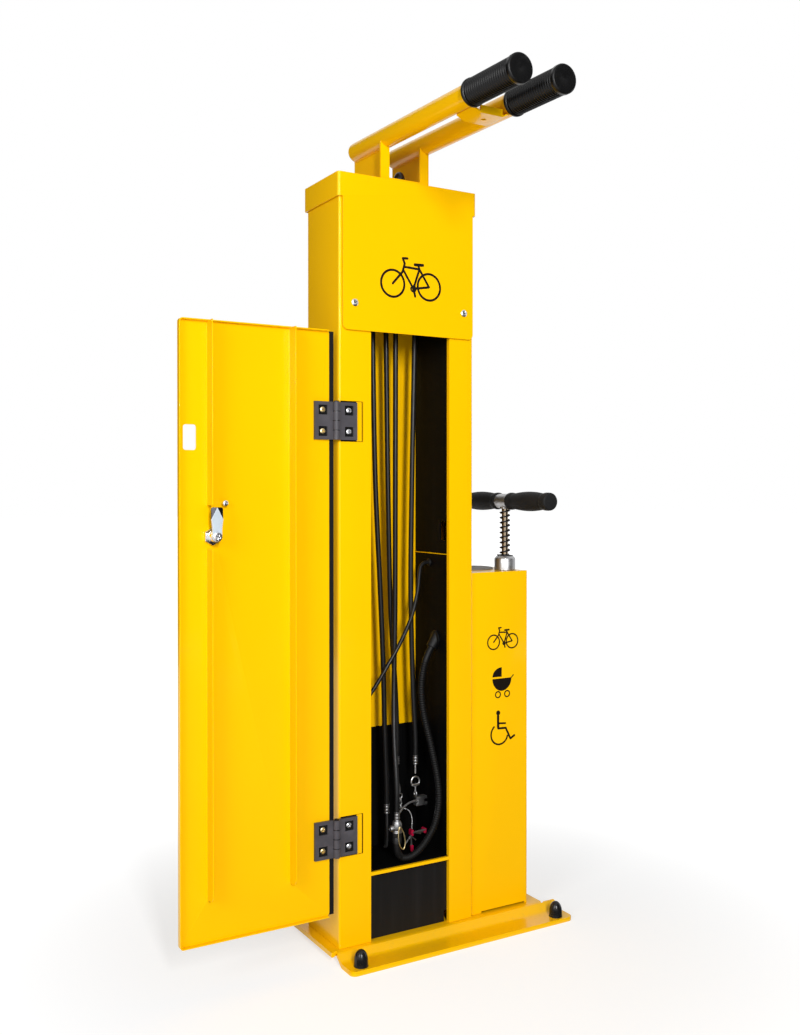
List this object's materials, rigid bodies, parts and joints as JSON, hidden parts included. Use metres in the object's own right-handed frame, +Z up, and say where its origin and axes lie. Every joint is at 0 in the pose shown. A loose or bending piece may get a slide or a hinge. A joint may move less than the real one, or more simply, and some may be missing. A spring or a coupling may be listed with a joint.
{
  "type": "bicycle repair station",
  "caption": "Floor-standing sheet-metal column with a hinged door over tools on cables, two arms to hang a bicycle on, and a stand pump in a side box.",
  "frame": {"origin": "on the floor, on the line of the front floor anchors, in the column's middle plane", "axes": "+X to the right, towards the pump box; +Y to the back; +Z up"},
  "size_m": [0.715, 0.5925, 1.3929],
  "materials": {
    "yellow_paint": "smooth satin powder coat",
    "black_sheet": "matt black powder coat",
    "black_plastic": "moulded, slightly glossy",
    "plug_rubber": "smooth matt rubber",
    "grip_rubber": "finely ribbed rubber",
    "hose_rubber": "ribbed rubber",
    "cable_cover": "smooth plastic cover over a steel cable",
    "bright_steel": "chromed",
    "brushed_steel": "fine turned steel",
    "spring_steel": "oiled spring steel",
    "red_plastic": "glossy moulded plastic"
  },
  "bodies": {
    "station": {"base_plate": "yellow_paint", "floor_cap_front_left": "black_plastic", "floor_cap_front_right": "black_plastic", "floor_cap_back_left": "black_plastic", "floor_cap_back_right": "black_plastic", "column_shell": "yellow_paint", "lid": "yellow_paint", "apron_screw_left": "bright_steel", "apron_screw_right": "bright_steel", "kick_panel": "black_sheet", "tool_shelf": "yellow_paint", "back_liner": "black_sheet", "side_liner_lower": "black_sheet", "side_liner_upper": "black_sheet", "cable_rail": "brushed_steel", "lever_cable": "cable_cover", "key_cable": "cable_cover", "pump_head_cable": "cable_cover", "spanner_cable": "cable_cover", "tyre_lever": "bright_steel", "hex_key_set": "red_plastic", "spanner": "bright_steel", "pump_head": "bright_steel", "pump_hose": "hose_rubber", "hose_gland": "black_plastic", "stay_cable": "cable_cover", "stay_gland": "black_plastic", "stay_clip": "black_plastic", "column_leaf_upper": "black_plastic", "column_leaf_lower": "black_plastic", "hinge_pin_upper": "spring_steel", "hinge_pin_lower": "spring_steel", "hinge_backing_upper": "yellow_paint", "hinge_backing_lower": "yellow_paint", "pump_box": "yellow_paint", "box_plug": "plug_rubber", "pump_cylinder": "brushed_steel", "pump_collar": "brushed_steel", "handle_spring": "spring_steel", "arm_left": "yellow_paint", "arm_right": "yellow_paint", "arm_grip_left": "grip_rubber", "arm_grip_right": "grip_rubber", "arm_bracket": "yellow_paint", "bracket_nut_front": "black_plastic", "bracket_nut_back": "black_plastic", "cross_strap": "yellow_paint"},
    "door": {"door_panel": "yellow_paint", "door_leaf_upper": "black_plastic", "door_leaf_lower": "black_plastic", "lock_body": "bright_steel", "stop_stud": "bright_steel"},
    "cam": {"lock_cam": "bright_steel"},
    "pump_handle": {"pump_rod": "bright_steel", "pump_piston": "hose_rubber", "handle_hub": "bright_steel", "handle_grip_front": "black_plastic", "handle_grip_back": "black_plastic"}
  },
  "joints": [
    {"name": "door_hinge", "type": "hinge", "parent": "station", "child": "door", "pos_m": [-0.1389, 0.0445, 0.548], "axis": [0, 0, 1], "range_deg": [0, 180]},
    {"name": "cam_turn", "type": "hinge", "parent": "door", "child": "cam", "pos_m": [-0.3515, 0.0265, 0.706], "axis": [0, -1, 0], "range_deg": [0, 90]},
    {"name": "pump_slide", "type": "slide", "parent": "station", "child": "pump_handle", "axis": [0, 0, 1], "range_m": [0, 0.33]}
  ]
}
